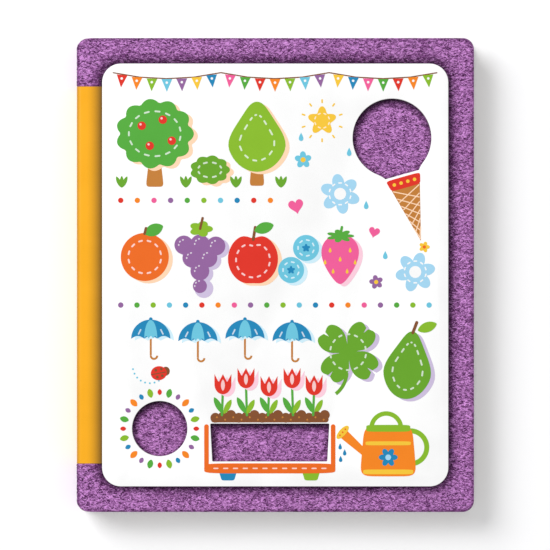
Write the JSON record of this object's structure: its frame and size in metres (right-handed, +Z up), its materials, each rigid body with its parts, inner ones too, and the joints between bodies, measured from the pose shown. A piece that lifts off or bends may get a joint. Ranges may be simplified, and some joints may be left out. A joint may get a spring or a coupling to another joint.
{
  "type": "board book",
  "caption": "Felt-covered board book with thick leaves, a card spine strip and a white front panel with die-cut touch windows; the covers open.",
  "frame": {"origin": "middle of the back cover's outer face, where the closed book rests", "axes": "+X from the spine to the fore-edge, +Y from tail to head, +Z up through the front cover"},
  "size_m": [0.213, 0.254, 0.0227],
  "materials": {
    "felt": "fuzzy needled felt",
    "strip_card": "satin coated card",
    "panel_board": "satin laminated board",
    "cover_board": "matte lined board",
    "leaf_board": "satin coated board"
  },
  "bodies": {
    "page_block": {"page_block": "leaf_board", "spine_felt": "felt", "spine_strip": "strip_card"},
    "front_cover": {"window_panel": "panel_board", "front_felt": "felt", "front_board": "cover_board", "front_strip": "strip_card"},
    "back_cover": {"back_board": "cover_board", "back_felt": "felt", "back_strip": "strip_card"}
  },
  "joints": [
    {"name": "front_cover_hinge", "type": "hinge", "parent": "page_block", "child": "front_cover", "pos_m": [-0.10665, 0, 0.0156], "axis": [0, -1, 0], "range_deg": [0, 178]},
    {"name": "back_cover_hinge", "type": "hinge", "parent": "page_block", "child": "back_cover", "pos_m": [-0.10665, 0, 0.00415], "axis": [0, 1, 0], "range_deg": [0, 178]}
  ]
}
